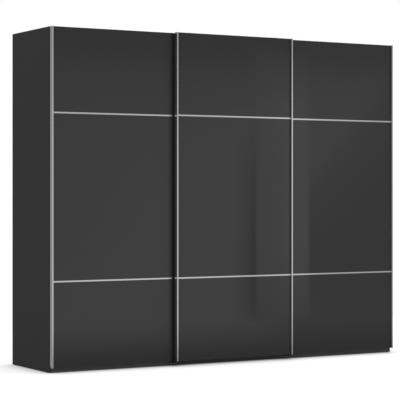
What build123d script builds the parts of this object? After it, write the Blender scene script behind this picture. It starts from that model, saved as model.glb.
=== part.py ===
from build123d import *
import math
import os

# Wardrobe with three hanging sliding doors, in millimetres.
# X runs along the width, Y from the doors to the back and Z up.
# The origin lies on the floor, under the centre of the whole wardrobe.

# Carcass
WIDTH = 2710.0
SIDE_HEIGHT = 2222.0
CARCASS_DEPTH = 586.0
SIDE_THICKNESS = 18.0
BOARD_THICKNESS = 16.0
EDGE_CHAMFER = 0.8
PLINTH_HEIGHT = 52.0
TOP_RECESS = 80.0
BACK_THICKNESS = 3.0
BACK_INSET = 10.0
BACK_GROOVE_DEPTH = 6.0
BACK_GROOVE_CLEARANCE = 0.2
JOINT_STRIP_WIDTH = 15.0
JOINT_STRIP_WALL = 1.2
JOINT_STRIP_CLEARANCE = 0.1
GLIDE_HEIGHT = 3.0
GLIDE_DIAMETER = 15.0
GLIDE_INSET = 45.0

# Hat shelves, their supports and the clothes rails
HAT_SPACE = 310.0
SHELF_SETBACK = 40.0
SHELF_CLEARANCE = 1.0
SUPPORT_INSET = 60.0
SUPPORT_WIDTH = 10.0
SUPPORT_REACH = 9.0
SUPPORT_DROP = 14.0
SUPPORT_PLATE = 2.0
SUPPORT_PEG_DIAMETER = 5.0
SUPPORT_PEG_LENGTH = 7.0
SUPPORT_PEG_CLEARANCE = 0.1
CLOTHES_RAIL_DIAMETER = 25.0
CLOTHES_RAIL_WALL = 1.5
CLOTHES_RAIL_DROP = 60.0
CUP_FLANGE_DIAMETER = 46.0
CUP_FLANGE_THICKNESS = 3.0
CUP_WALL = 3.0
CUP_DEPTH = 14.0
CUP_CLEARANCE = 0.3

# Doors
DOOR_INSET = 4.0
DOOR_OVERLAP = 27.5
DOOR_BOTTOM = 34.0
DOOR_GAP = 10.0
TRACK_PITCH = 40.0
MIDDLE_DOOR_LIFT = 2.0
DOOR_BOARD_THICKNESS = 13.0
GLASS_THICKNESS = 4.0
GLASS_CLEARANCE = 0.5
GLASS_CHAMFER = 0.6
END_PANEL_HEIGHT = 552.0
STRIP_HEIGHT = 10.0
STRIP_PROUD = 1.5
STRIP_STEM = 3.0
STRIP_ROUNDING = 0.5
STRIP_END_CLEARANCE = 0.2
HANDLE_FACE = 10.0
HANDLE_PROUD = 15.0
HANDLE_WALL = 1.6
HANDLE_LEAF = 2.0
HANDLE_LIP = 9.0
HANDLE_LIP_THICKNESS = 1.5
HANDLE_ROUNDING = 1.0

# Running rail, with one beaded strip for each row of doors
RAIL_BASE_DEPTH = 83.0
RAIL_BASE_THICKNESS = 3.0
RAIL_LIP_HEIGHT = 18.0
RAIL_LIP_THICKNESS = 2.0
RAIL_END_CLEARANCE = 0.5
RIB_SETBACK = 22.0
RIB_SEAT = 1.0
RIB_HEIGHT = 9.0
RIB_THICKNESS = 3.0
BEAD_RADIUS = 3.0

# Grooved wheels on the rail and the hangers that carry the doors
WHEEL_OFFSET = 330.0
WHEEL_RADIUS = 20.0
WHEEL_ROLLING_RADIUS = 17.0
WHEEL_WIDTH = 12.0
WHEEL_FLANK_ANGLE = 45.0
WHEEL_RUNNING_GAP = 0.3
AXLE_RADIUS = 4.0
AXLE_FIT = 0.05
AXLE_HEAD_RADIUS = 6.5
AXLE_HEAD_THICKNESS = 2.0
AXLE_COLLAR = 3.0
AXLE_SIDE_PLAY = 0.3
HANGER_THICKNESS = 3.0
HANGER_WIDTH = 64.0
HANGER_TONGUE = 28.0
HANGER_BEND = 4.0
HANGER_FOOT_DROP = 110.0
HANGER_WEB_CLEARANCE = 8.0
HANGER_CROSSING_CLEARANCE = 2.5
HANGER_SLOT_LENGTH = 18.0
HANGER_SLOT_WIDTH = 6.5
HANGER_SLOT_SPACING = 36.0
HANGER_SLOT_RISE = 26.0
STOP_LENGTH = 32.0
STOP_GAP = 1.0
STOP_CLEARANCE = 0.3
STOP_RISE = 8.0

# Guides under the doors, with one finger for each row of doors
GUIDE_WIDTH = 40.0
GUIDE_PLATE = 2.5
GUIDE_LEG = 18.0
GUIDE_DROP = 8.0
GUIDE_NOSE = 8.0
FINGER_LENGTH = 12.0
FINGER_WIDTH = 5.0
FINGER_CLEARANCE = 0.5
FINGER_REACH = 10.0
GUIDE_GROOVE_SPARE = 4.0

# Planes that several pieces share
DOOR_THICKNESS = DOOR_BOARD_THICKNESS + GLASS_THICKNESS
DOOR_STACK = DOOR_GAP + TRACK_PITCH + DOOR_THICKNESS + HANDLE_PROUD
FRONT_Y = DOOR_STACK - (CARCASS_DEPTH + DOOR_STACK) / 2
REAR_Y = FRONT_Y + CARCASS_DEPTH
BACK_PANEL_Y = REAR_Y - BACK_INSET - BACK_THICKNESS
INNER_X = WIDTH / 2 - SIDE_THICKNESS
BAY_WIDTH = (2 * INNER_X - 2 * BOARD_THICKNESS) / 3
PARTITION_X = (BAY_WIDTH + BOARD_THICKNESS) / 2
FLOOR_UNDERSIDE_Z = GLIDE_HEIGHT + PLINTH_HEIGHT
FLOOR_Z = FLOOR_UNDERSIDE_Z + BOARD_THICKNESS
TOP_Z = SIDE_HEIGHT - TOP_RECESS
TOP_UNDERSIDE_Z = TOP_Z - BOARD_THICKNESS
SHELF_UNDERSIDE_Z = TOP_UNDERSIDE_Z - HAT_SPACE - BOARD_THICKNESS
CLOTHES_RAIL_Z = SHELF_UNDERSIDE_Z - CLOTHES_RAIL_DROP
SHELF_REAR_Y = BACK_PANEL_Y - SHELF_CLEARANCE
SHELF_FRONT_Y = FRONT_Y + SHELF_SETBACK
CLOTHES_RAIL_Y = (SHELF_FRONT_Y + SHELF_REAR_Y) / 2
DOOR_WIDTH = (WIDTH - 2 * DOOR_INSET + 2 * DOOR_OVERLAP) / 3
REAR_DOOR_X = WIDTH / 2 - DOOR_INSET - DOOR_WIDTH / 2
DOOR_HEIGHT = SIDE_HEIGHT - DOOR_BOTTOM
BEAD_Z = TOP_Z + RAIL_BASE_THICKNESS + RIB_HEIGHT - BEAD_RADIUS
AXLE_Z = BEAD_Z + BEAD_RADIUS + WHEEL_RUNNING_GAP + WHEEL_ROLLING_RADIUS
GUIDE_GROOVE_WIDTH = FINGER_WIDTH + 2 * FINGER_CLEARANCE
GUIDE_GROOVE_DEPTH = FINGER_REACH + GUIDE_GROOVE_SPARE
GUIDE_Z = DOOR_BOTTOM - GUIDE_DROP

# Each bay's name and the X of its centre
BAYS = {"left": -BAY_WIDTH - BOARD_THICKNESS, "middle": 0.0, "right": BAY_WIDTH + BOARD_THICKNESS}

# Each door's centre, its row counted from the carcass, and how much higher it hangs
DOORS = {
    "left": (-REAR_DOOR_X, 0, 0.0),
    "middle": (0.0, 1, MIDDLE_DOOR_LIFT),
    "right": (REAR_DOOR_X, 0, 0.0),
}


def block(x_span, y_span, z_span):
    """A box between two values on each axis."""
    size = [high - low for low, high in (x_span, y_span, z_span)]
    centre = [(high + low) / 2 for low, high in (x_span, y_span, z_span)]
    return Pos(*centre) * Box(*size)


def around(centre, width):
    """The span of a width set evenly about a centre."""
    return (centre - width / 2, centre + width / 2)


def rectangle(u_span, v_span):
    """A flat rectangle between two values on each axis of a sketch."""
    centre = [(low + high) / 2 for low, high in (u_span, v_span)]
    return Pos(*centre) * Rectangle(u_span[1] - u_span[0], v_span[1] - v_span[0])


def outline(corners):
    """A closed outline from (u, v, radius) corners, where radius 0 is sharp."""
    face = make_face(Polyline(*[(u, v) for u, v, _ in corners], close=True))
    for u, v, radius in corners:
        if radius:
            corner = face.vertices().sort_by_distance((u, v, 0))[0]
            face = fillet(corner, radius)
    return face


def along_x(face, x_span):
    """Extrude a (Y, Z) profile between two values of X."""
    return extrude(Plane.YZ.offset(x_span[0]) * face, x_span[1] - x_span[0])


def along_z(face, z_span):
    """Extrude an (X, Y) profile between two heights."""
    return extrude(Plane.XY.offset(z_span[0]) * face, z_span[1] - z_span[0])


def rod_x(radius, x_span, y, z):
    """A round bar along X."""
    return Pos(sum(x_span) / 2, y, z) * Rot(0, 90, 0) * Cylinder(radius, x_span[1] - x_span[0])


def rod_y(radius, x, y_span, z):
    """A round bar along Y."""
    return Pos(x, sum(y_span) / 2, z) * Rot(90, 0, 0) * Cylinder(radius, y_span[1] - y_span[0])


def support_places():
    """Each shelf support's panel face: the X of the face, the way into the bay, and Y."""
    for centre in BAYS.values():
        for inward in (1, -1):
            for y in (SHELF_FRONT_Y + SUPPORT_INSET, SHELF_REAR_Y - SUPPORT_INSET):
                yield centre - inward * BAY_WIDTH / 2, inward, y


def support_holes():
    """The holes in the upright boards that hold the pegs of the shelf supports."""
    depth = SUPPORT_PEG_LENGTH + SUPPORT_PEG_CLEARANCE
    radius = SUPPORT_PEG_DIAMETER / 2 + SUPPORT_PEG_CLEARANCE
    height = SHELF_UNDERSIDE_Z - SUPPORT_DROP / 2
    holes = []
    for x, inward, y in support_places():
        holes.append(rod_x(radius, sorted((x, x - inward * depth)), y, height))
    return holes


def side_panel(side):
    """An upright outer board with the groove that holds the back panel."""
    x_span = sorted((side * INNER_X, side * WIDTH / 2))
    panel = block(x_span, (FRONT_Y, REAR_Y), (GLIDE_HEIGHT, SIDE_HEIGHT))
    outer_face = panel.faces().sort_by(Axis.X)[-1 if side > 0 else 0]
    panel = chamfer(outer_face.edges(), EDGE_CHAMFER)
    groove_x = sorted((side * INNER_X, side * (INNER_X + BACK_GROOVE_DEPTH)))
    groove_y = around(BACK_PANEL_Y + BACK_THICKNESS / 2, BACK_THICKNESS + 2 * BACK_GROOVE_CLEARANCE)
    return panel - block(groove_x, groove_y, (GLIDE_HEIGHT, SIDE_HEIGHT)) - support_holes()


def partition(side):
    """An upright board between two bays, as high as the top panels."""
    rear = BACK_PANEL_Y - JOINT_STRIP_WALL - JOINT_STRIP_CLEARANCE
    board = block(around(side * PARTITION_X, BOARD_THICKNESS), (FRONT_Y, rear), (GLIDE_HEIGHT, TOP_Z))
    return board - support_holes()


def bay_panel(centre, z_span):
    """A flat board that fills a bay from the front to the back panel."""
    return block(around(centre, BAY_WIDTH), (FRONT_Y, BACK_PANEL_Y), z_span)


def back_panel(centre):
    """A thin back board, held in the side panels' grooves and the joint strips."""
    joint = PARTITION_X - JOINT_STRIP_WALL / 2 - JOINT_STRIP_CLEARANCE
    outer_joint = PARTITION_X + JOINT_STRIP_WALL / 2 + JOINT_STRIP_CLEARANCE
    outer = INNER_X + BACK_GROOVE_DEPTH - BACK_GROOVE_CLEARANCE
    x_span = (-joint, joint)
    if centre:
        side = math.copysign(1, centre)
        x_span = sorted((side * outer_joint, side * outer))
    return block(x_span, (BACK_PANEL_Y, BACK_PANEL_Y + BACK_THICKNESS), (FLOOR_UNDERSIDE_Z, TOP_Z))


def joint_strip(side):
    """An H-shaped strip that joins two back panels behind a partition."""
    centre = side * PARTITION_X
    panel_front = BACK_PANEL_Y - JOINT_STRIP_CLEARANCE
    panel_rear = BACK_PANEL_Y + BACK_THICKNESS + JOINT_STRIP_CLEARANCE
    flange = around(centre, JOINT_STRIP_WIDTH)
    face = rectangle(around(centre, JOINT_STRIP_WALL), (panel_front, panel_rear))
    face += rectangle(flange, (panel_front - JOINT_STRIP_WALL, panel_front))
    face += rectangle(flange, (panel_rear, panel_rear + JOINT_STRIP_WALL))
    return along_z(face, (FLOOR_UNDERSIDE_Z, TOP_Z))


def plinth_board(centre):
    """A board on edge that closes the space under a floor panel."""
    y_span = (FRONT_Y, FRONT_Y + BOARD_THICKNESS)
    return block(around(centre, BAY_WIDTH), y_span, (GLIDE_HEIGHT, FLOOR_UNDERSIDE_Z))


def floor_glides():
    """Two round glides under each upright board."""
    side_x = (WIDTH - SIDE_THICKNESS) / 2
    uprights = (-side_x, -PARTITION_X, PARTITION_X, side_x)
    places = [(x, y) for x in uprights for y in (FRONT_Y + GLIDE_INSET, BACK_PANEL_Y - GLIDE_INSET)]
    return [Pos(x, y, GLIDE_HEIGHT / 2) * Cylinder(GLIDE_DIAMETER / 2, GLIDE_HEIGHT) for x, y in places]


def hat_shelf(centre):
    """A loose shelf that lies on four supports."""
    z_span = (SHELF_UNDERSIDE_Z, SHELF_UNDERSIDE_Z + BOARD_THICKNESS)
    return block(around(centre, BAY_WIDTH - 2 * SHELF_CLEARANCE), (SHELF_FRONT_Y, SHELF_REAR_Y), z_span)


def shelf_support(x, inward, y):
    """An angle support: a peg in the board, a plate against it and a ledge under the shelf."""
    y_span = around(y, SUPPORT_WIDTH)
    plate = sorted((x, x + inward * SUPPORT_PLATE))
    ledge = sorted((x, x + inward * SUPPORT_REACH))
    peg = sorted((x, x - inward * SUPPORT_PEG_LENGTH))
    support = block(plate, y_span, (SHELF_UNDERSIDE_Z - SUPPORT_DROP, SHELF_UNDERSIDE_Z))
    support += block(ledge, y_span, (SHELF_UNDERSIDE_Z - SUPPORT_PLATE, SHELF_UNDERSIDE_Z))
    return support + rod_x(SUPPORT_PEG_DIAMETER / 2, peg, y, SHELF_UNDERSIDE_Z - SUPPORT_DROP / 2)


def clothes_rail(centre):
    """A round tube that spans a bay between two cups."""
    span = around(centre, BAY_WIDTH - 2 * CUP_FLANGE_THICKNESS)
    radius = CLOTHES_RAIL_DIAMETER / 2
    tube = rod_x(radius, span, CLOTHES_RAIL_Y, CLOTHES_RAIL_Z)
    return tube - rod_x(radius - CLOTHES_RAIL_WALL, span, CLOTHES_RAIL_Y, CLOTHES_RAIL_Z)


def rail_cup(centre, inward):
    """A flanged cup, open at the top, that holds one end of a clothes rail."""
    x = centre - inward * BAY_WIDTH / 2
    flange = sorted((x, x + inward * CUP_FLANGE_THICKNESS))
    ring = sorted((x + inward * CUP_FLANGE_THICKNESS, x + inward * (CUP_FLANGE_THICKNESS + CUP_DEPTH)))
    bore = CLOTHES_RAIL_DIAMETER / 2 + CUP_CLEARANCE
    cup = rod_x(bore + CUP_WALL, ring, CLOTHES_RAIL_Y, CLOTHES_RAIL_Z)
    cup -= rod_x(bore, ring, CLOTHES_RAIL_Y, CLOTHES_RAIL_Z)
    mouth = (CLOTHES_RAIL_Z, CLOTHES_RAIL_Z + bore + CUP_WALL)
    cup -= block(ring, around(CLOTHES_RAIL_Y, 2 * bore), mouth)
    return cup + rod_x(CUP_FLANGE_DIAMETER / 2, flange, CLOTHES_RAIL_Y, CLOTHES_RAIL_Z)


def rib_y(row):
    """The Y of the rib that carries a row of doors."""
    return FRONT_Y + RIB_SETBACK + row * TRACK_PITCH


def running_rail():
    """The rail: a base with a front lip, and two beaded strips pressed into its grooves."""
    base_top = TOP_Z + RAIL_BASE_THICKNESS
    base_front = FRONT_Y - RAIL_LIP_THICKNESS
    base = rectangle((base_front, FRONT_Y + RAIL_BASE_DEPTH), (TOP_Z, base_top))
    base += rectangle((base_front, FRONT_Y), (base_top - RAIL_LIP_HEIGHT, base_top))
    strips = []
    for row in (0, 1):
        rib = rectangle(around(rib_y(row), RIB_THICKNESS), (base_top - RIB_SEAT, BEAD_Z))
        base -= rib
        strips.append(rib + Pos(rib_y(row), BEAD_Z) * Circle(BEAD_RADIUS))
    x_span = around(0.0, 2 * (INNER_X - RAIL_END_CLEARANCE))
    return [along_x(face, x_span) for face in (base, *strips)]


def end_stop(row, side):
    """A rubber block over a rib that stops a wheel at the end of its run."""
    near = REAR_DOOR_X + WHEEL_OFFSET + WHEEL_RADIUS + STOP_GAP
    x_span = sorted((side * near, side * (near + STOP_LENGTH)))
    base_top = TOP_Z + RAIL_BASE_THICKNESS
    stop = block(x_span, around(rib_y(row), WHEEL_WIDTH), (base_top, AXLE_Z + STOP_RISE))
    slot_width = 2 * (BEAD_RADIUS + STOP_CLEARANCE)
    slot_top = BEAD_Z + BEAD_RADIUS + STOP_CLEARANCE
    return stop - block(x_span, around(rib_y(row), slot_width), (base_top, slot_top))


def door_guide(side):
    """An angle on the plinth with an upright finger in the groove of each row of doors."""
    centre = side * PARTITION_X
    nose = door_back_y(1) - DOOR_BOARD_THICKNESS / 2 - FINGER_WIDTH / 2 - GUIDE_NOSE
    x_span = around(centre, GUIDE_WIDTH)
    guide = block(x_span, (nose, FRONT_Y), (GUIDE_Z - GUIDE_PLATE, GUIDE_Z))
    guide += block(x_span, (FRONT_Y - GUIDE_PLATE, FRONT_Y), (GUIDE_Z - GUIDE_LEG, GUIDE_Z))
    for row, lift in ((0, 0.0), (1, MIDDLE_DOOR_LIFT)):
        finger_y = around(door_back_y(row) - DOOR_BOARD_THICKNESS / 2, FINGER_WIDTH)
        finger_top = DOOR_BOTTOM + lift + FINGER_REACH
        guide += block(around(centre, FINGER_LENGTH), finger_y, (GUIDE_Z, finger_top))
    return guide


def door_back_y(row):
    """The Y of the back face of a row of doors."""
    return FRONT_Y - DOOR_GAP - row * TRACK_PITCH


def glass_y(row):
    """The Y of the glass faces of a row of doors."""
    return door_back_y(row) - DOOR_THICKNESS


def door_span(lift):
    """The heights of a door's bottom and top edges."""
    return (DOOR_BOTTOM + lift, DOOR_BOTTOM + lift + DOOR_HEIGHT)


def guide_groove(centre, row, lift):
    """The groove along a door's bottom edge, open at both ends."""
    bottom = DOOR_BOTTOM + lift
    y_span = around(door_back_y(row) - DOOR_BOARD_THICKNESS / 2, GUIDE_GROOVE_WIDTH)
    return block(around(centre, DOOR_WIDTH), y_span, (bottom, bottom + GUIDE_GROOVE_DEPTH))


def door_board(centre, row, lift):
    """The board that carries a door's glass, with the guide groove under it."""
    back = door_back_y(row)
    x_span = around(centre, DOOR_WIDTH - 2 * HANDLE_LEAF)
    board = block(x_span, (back - DOOR_BOARD_THICKNESS, back), door_span(lift))
    return board - guide_groove(centre, row, lift)


def strip_heights(lift):
    """The heights of the centres of a door's two cross strips."""
    bottom, top = door_span(lift)
    return (bottom + END_PANEL_HEIGHT, top - END_PANEL_HEIGHT)


def glass_panel(centre, row, z_span):
    """A glass sheet with a ground edge round its face."""
    x_span = around(centre, DOOR_WIDTH - 2 * (HANDLE_LEAF + GLASS_CLEARANCE))
    sheet = block(x_span, (glass_y(row), glass_y(row) + GLASS_THICKNESS), z_span)
    return chamfer(sheet.faces().sort_by(Axis.Y)[0].edges(), GLASS_CHAMFER)


def glass_panels(centre, row, lift):
    """A door's three glass sheets, from the top down."""
    bottom, top = door_span(lift)
    lower, upper = strip_heights(lift)
    margin = STRIP_STEM / 2 + GLASS_CLEARANCE
    spans = {
        "top": (upper + margin, top),
        "middle": (lower + margin, upper - margin),
        "bottom": (bottom, lower - margin),
    }
    return {place: glass_panel(centre, row, z_span) for place, z_span in spans.items()}


def cross_strips(centre, row, lift):
    """Two T-shaped strips between the glass sheets."""
    front = glass_y(row) - STRIP_PROUD
    back = glass_y(row) + GLASS_THICKNESS
    x_span = around(centre, DOOR_WIDTH - 2 * (HANDLE_FACE + STRIP_END_CLEARANCE))
    strips = []
    for z in strip_heights(lift):
        low, high = around(z, STRIP_HEIGHT)
        stem_low, stem_high = around(z, STRIP_STEM)
        corners = [(front, low, STRIP_ROUNDING), (glass_y(row), low, 0), (glass_y(row), stem_low, 0)]
        corners += [(back, stem_low, 0), (back, stem_high, 0), (glass_y(row), stem_high, 0)]
        corners += [(glass_y(row), high, 0), (front, high, STRIP_ROUNDING)]
        strips.append(along_x(outline(corners), x_span))
    return strips


def handle(centre, row, lift, side):
    """The extrusion on a door's edge: a hollow grip, a leaf on the edge and a lip behind the board."""
    edge = centre + side * DOOR_WIDTH / 2
    back = door_back_y(row)
    front = glass_y(row) - HANDLE_PROUD
    lip_back = back + HANDLE_LIP_THICKNESS
    inward = [edge - side * reach for reach in (HANDLE_FACE, HANDLE_LEAF, HANDLE_LIP)]
    face_x, leaf_x, lip_x = inward
    corners = [(edge, front, HANDLE_ROUNDING), (face_x, front, HANDLE_ROUNDING)]
    corners += [(face_x, glass_y(row), 0), (leaf_x, glass_y(row), 0), (leaf_x, back, 0), (lip_x, back, 0)]
    corners += [(lip_x, lip_back, 0), (edge, lip_back, HANDLE_ROUNDING)]
    hollow_x = sorted((leaf_x, face_x + side * HANDLE_WALL))
    hollow = rectangle(hollow_x, (front + HANDLE_WALL, glass_y(row) - HANDLE_WALL))
    return along_z(outline(corners) - hollow, door_span(lift)) - guide_groove(centre, row, lift)


def wheel_places(centre):
    """The X of a door's left and right wheels."""
    return {"left": centre - WHEEL_OFFSET, "right": centre + WHEEL_OFFSET}


def wheel(x, row):
    """A wheel with a flat-bottomed V groove that clears the bead evenly on three sides."""
    half = WHEEL_WIDTH / 2
    bore = AXLE_RADIUS + AXLE_FIT
    clear_radius = BEAD_RADIUS + WHEEL_RUNNING_GAP
    flank = math.radians(WHEEL_FLANK_ANGLE)
    bottom = clear_radius * math.tan(flank / 2)
    mouth = bottom + (WHEEL_RADIUS - WHEEL_ROLLING_RADIUS) / math.tan(flank)
    section = [(bore, half), (bore, -half), (WHEEL_RADIUS, -half), (WHEEL_RADIUS, -mouth)]
    section += [(WHEEL_ROLLING_RADIUS, -bottom), (WHEEL_ROLLING_RADIUS, bottom)]
    section += [(WHEEL_RADIUS, mouth), (WHEEL_RADIUS, half)]
    turned = revolve(make_face(Polyline(*section, close=True)), Axis.Y)
    return Pos(x, rib_y(row), AXLE_Z) * turned


def tongue_y(row):
    """The Y span of the hanger tongue that carries an axle, behind the wheel."""
    near = rib_y(row) + WHEEL_WIDTH / 2 + AXLE_SIDE_PLAY + AXLE_COLLAR
    return (near, near + HANGER_THICKNESS)


def axle(x, row):
    """A riveted axle: a head, the wheel's seat, a collar and a tail behind the tongue."""
    tongue_near, tongue_far = tongue_y(row)
    collar = tongue_near - AXLE_COLLAR
    head = rib_y(row) - WHEEL_WIDTH / 2 - AXLE_SIDE_PLAY
    pin = rod_y(AXLE_RADIUS, x, (head, tongue_far), AXLE_Z)
    for y_span in ((head - AXLE_HEAD_THICKNESS, head), (collar, tongue_near)):
        pin += rod_y(AXLE_HEAD_RADIUS, x, y_span, AXLE_Z)
    return pin + rod_y(AXLE_HEAD_RADIUS, x, (tongue_far, tongue_far + AXLE_HEAD_THICKNESS), AXLE_Z)


def hanger(x, row):
    """A bent steel plate: slotted foot on the door's back, web over the rail, tongue for the axle."""
    back = door_back_y(row)
    crossing = SIDE_HEIGHT + HANGER_CROSSING_CLEARANCE
    web_low = crossing if row else AXLE_Z + WHEEL_RADIUS + HANGER_WEB_CLEARANCE
    web_high = web_low + HANGER_THICKNESS
    foot = AXLE_Z - HANGER_FOOT_DROP
    foot_far = back + HANGER_THICKNESS
    tongue_near, tongue_far = tongue_y(row)
    tongue_root = web_low - 2 * HANGER_BEND
    outer_bend = HANGER_BEND + HANGER_THICKNESS
    corners = [(back, foot, 0), (back, web_high, outer_bend), (tongue_far, web_high, outer_bend)]
    corners += [(tongue_far, tongue_root, 0), (tongue_near, tongue_root, 0)]
    corners += [(tongue_near, web_low, HANGER_BEND), (foot_far, web_low, HANGER_BEND), (foot_far, foot, 0)]
    plate = along_x(outline(corners), around(x, HANGER_WIDTH))
    plate += block(around(x, HANGER_TONGUE), (tongue_near, tongue_far), (AXLE_Z, tongue_root))
    plate += rod_y(HANGER_TONGUE / 2, x, (tongue_near, tongue_far), AXLE_Z)
    plate -= rod_y(AXLE_RADIUS + AXLE_FIT, x, (tongue_near, tongue_far), AXLE_Z)
    for side in (-1, 1):
        slot_place = Pos(x + side * HANGER_SLOT_SPACING / 2, foot_far, foot + HANGER_SLOT_RISE)
        slot = SlotOverall(HANGER_SLOT_LENGTH, HANGER_SLOT_WIDTH, rotation=90)
        plate -= slot_place * extrude(Plane.XZ * slot, HANGER_THICKNESS)
    return plate


def carcass_nodes():
    """Everything that stands still, by node name."""
    nodes = {
        "left_side_panel": side_panel(-1),
        "right_side_panel": side_panel(1),
        "left_partition": partition(-1),
        "right_partition": partition(1),
    }
    for name, centre in BAYS.items():
        nodes[f"{name}_floor_panel"] = bay_panel(centre, (FLOOR_UNDERSIDE_Z, FLOOR_Z))
        nodes[f"{name}_top_panel"] = bay_panel(centre, (TOP_UNDERSIDE_Z, TOP_Z))
        nodes[f"{name}_back_panel"] = back_panel(centre)
        nodes[f"{name}_hat_shelf"] = hat_shelf(centre)
        nodes[f"{name}_clothes_rail"] = clothes_rail(centre)
    nodes["back_joint_strips"] = [joint_strip(side) for side in (-1, 1)]
    nodes["plinth_boards"] = [plinth_board(centre) for centre in BAYS.values()]
    nodes["floor_glides"] = floor_glides()
    nodes["shelf_supports"] = [shelf_support(*place) for place in support_places()]
    nodes["rail_cups"] = [rail_cup(centre, inward) for centre in BAYS.values() for inward in (1, -1)]
    nodes["running_rail"] = running_rail()
    nodes["end_stops"] = [end_stop(row, side) for row in (0, 1) for side in (-1, 1)]
    nodes["door_guides"] = [door_guide(side) for side in (-1, 1)]
    return nodes


def door_nodes(name, centre, row, lift):
    """One door with its hangers, axles and wheels, by node name."""
    nodes = {f"{name}_door_board": door_board(centre, row, lift)}
    for place, sheet in glass_panels(centre, row, lift).items():
        nodes[f"{name}_door_{place}_glass"] = sheet
    nodes[f"{name}_door_cross_strips"] = cross_strips(centre, row, lift)
    nodes[f"{name}_door_left_handle"] = handle(centre, row, lift, -1)
    nodes[f"{name}_door_right_handle"] = handle(centre, row, lift, 1)
    places = wheel_places(centre)
    nodes[f"{name}_door_hangers"] = [hanger(x, row) for x in places.values()]
    nodes[f"{name}_door_axles"] = [axle(x, row) for x in places.values()]
    for place, x in places.items():
        nodes[f"{name}_door_{place}_wheel"] = wheel(x, row)
    return nodes


def main():
    """Write one STEP file for each node."""
    nodes = carcass_nodes()
    for name, (centre, row, lift) in DOORS.items():
        nodes.update(door_nodes(name, centre, row, lift))
    os.makedirs("parts", exist_ok=True)
    for name, shape in nodes.items():
        solids = Compound(children=shape) if isinstance(shape, list) else shape
        export_step(solids, f"parts/{name}.step")


main()
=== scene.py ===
import math
import bmesh
import bpy
from bpy.props import FloatProperty, FloatVectorProperty, IntProperty, PointerProperty
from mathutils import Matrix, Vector


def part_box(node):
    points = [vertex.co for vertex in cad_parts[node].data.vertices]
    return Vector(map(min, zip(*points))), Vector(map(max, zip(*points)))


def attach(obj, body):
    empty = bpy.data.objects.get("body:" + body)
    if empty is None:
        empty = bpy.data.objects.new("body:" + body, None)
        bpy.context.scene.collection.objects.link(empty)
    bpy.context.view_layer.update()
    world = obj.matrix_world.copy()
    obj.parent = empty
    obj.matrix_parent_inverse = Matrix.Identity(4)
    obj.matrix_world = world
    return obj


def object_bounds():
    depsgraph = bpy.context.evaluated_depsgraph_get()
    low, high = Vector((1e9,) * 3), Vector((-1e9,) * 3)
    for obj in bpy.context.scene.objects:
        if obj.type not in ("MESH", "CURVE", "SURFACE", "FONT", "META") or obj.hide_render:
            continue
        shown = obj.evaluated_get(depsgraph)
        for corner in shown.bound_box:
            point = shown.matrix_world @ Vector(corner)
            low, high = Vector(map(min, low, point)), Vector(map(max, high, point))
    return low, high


bl_info = {
    "name": "Sliding Door Wardrobe",
    "version": (1, 0, 0),
    "blender": (4, 5, 0),
    "location": "3D View > Sidebar > Wardrobe",
    "description": "Finishes a wardrobe with three hanging glass doors and sets its studio",
    "category": "Object",
}

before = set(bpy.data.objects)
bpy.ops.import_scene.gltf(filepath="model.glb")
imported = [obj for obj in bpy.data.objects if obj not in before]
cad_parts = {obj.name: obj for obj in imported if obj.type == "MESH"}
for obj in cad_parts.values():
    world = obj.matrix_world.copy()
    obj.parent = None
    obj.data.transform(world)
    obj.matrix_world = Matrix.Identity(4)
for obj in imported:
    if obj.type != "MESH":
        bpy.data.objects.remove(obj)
CAD_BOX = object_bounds()
THIRDS = ("left", "middle", "right")
ENDS = ("left", "right")

# Outlines of small turned pieces, as shares of their radius and height
SCREW_OUTLINE = ((0.0, 0.0), (1.0, 0.0), (1.0, 0.35), (0.92, 0.68), (0.68, 0.92), (0.3, 1.0), (0.0, 1.0))
WASHER_OUTLINE = ((0.55, 0.0), (1.0, 0.0), (1.0, 1.0), (0.55, 1.0), (0.55, 0.0))
NAIL_OUTLINE = ((0.0, 0.0), (1.0, 0.0), (0.9, 0.6), (0.5, 1.0), (0.0, 1.0))
COVER_OUTLINE = ((0.0, 0.0), (1.0, 0.0), (1.0, 0.4), (0.86, 1.0), (0.0, 0.8))
# Facets round those pieces, and the distance in metres at which their meeting points become one
HEAD_FACETS = 20
NAIL_FACETS = 12
COVER_FACETS = 24
MERGE_DISTANCE = 0.000002
# The cross recess of a screw, as shares of the head's radius, and the scale at which it is cut,
# because a cut between lengths near its tolerance fails
RECESS_LENGTH = 1.1
RECESS_WIDTH = 0.26
CUTTING_SCALE = 100.0

# Tones of the screen that the doors reflect, as (metres, share) stops: along its wall,
# up its wall, and over its floor from the wall to the doors. Those of the light panel and of the
# dark flap on its left run along and up from the panel's foot
SCREEN_ALONG = (
    (-0.75, 0.50), (3.65, 0.66), (5.65, 0.80), (6.60, 0.80), (6.95, 0.74), (7.30, 0.56), (7.65, 0.42),
    (8.2, 0.32), (9.2, 0.24),
)
SCREEN_UP = (
    (0.0, 1.0), (1.65, 1.0), (2.16, 0.94), (2.45, 0.84), (2.75, 0.74), (3.04, 0.55), (3.33, 0.27), (4.2, 0.0),
)
SCREEN_INWARD = ((0.0, 1.0), (8.4, 1.0), (9.45, 0.76), (10.2, 0.50), (10.9, 0.14), (11.3, 0.0))
PANEL_ALONG = ((0.0, 0.60), (0.23, 0.76), (0.42, 1.0), (0.56, 1.0), (0.63, 0.76))
PANEL_UP = ((0.0, 0.45), (0.40, 0.80), (0.80, 1.0), (1.75, 1.0), (2.08, 0.65), (2.45, 0.0))
FLAP_ALONG = ((-0.22, 0.0), (-0.10, 0.34), (0.0, 1.0))
FLAP_UP = ((0.0, 0.40), (0.25, 0.94), (0.45, 1.0), (1.08, 0.75), (1.95, 0.0))

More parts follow.
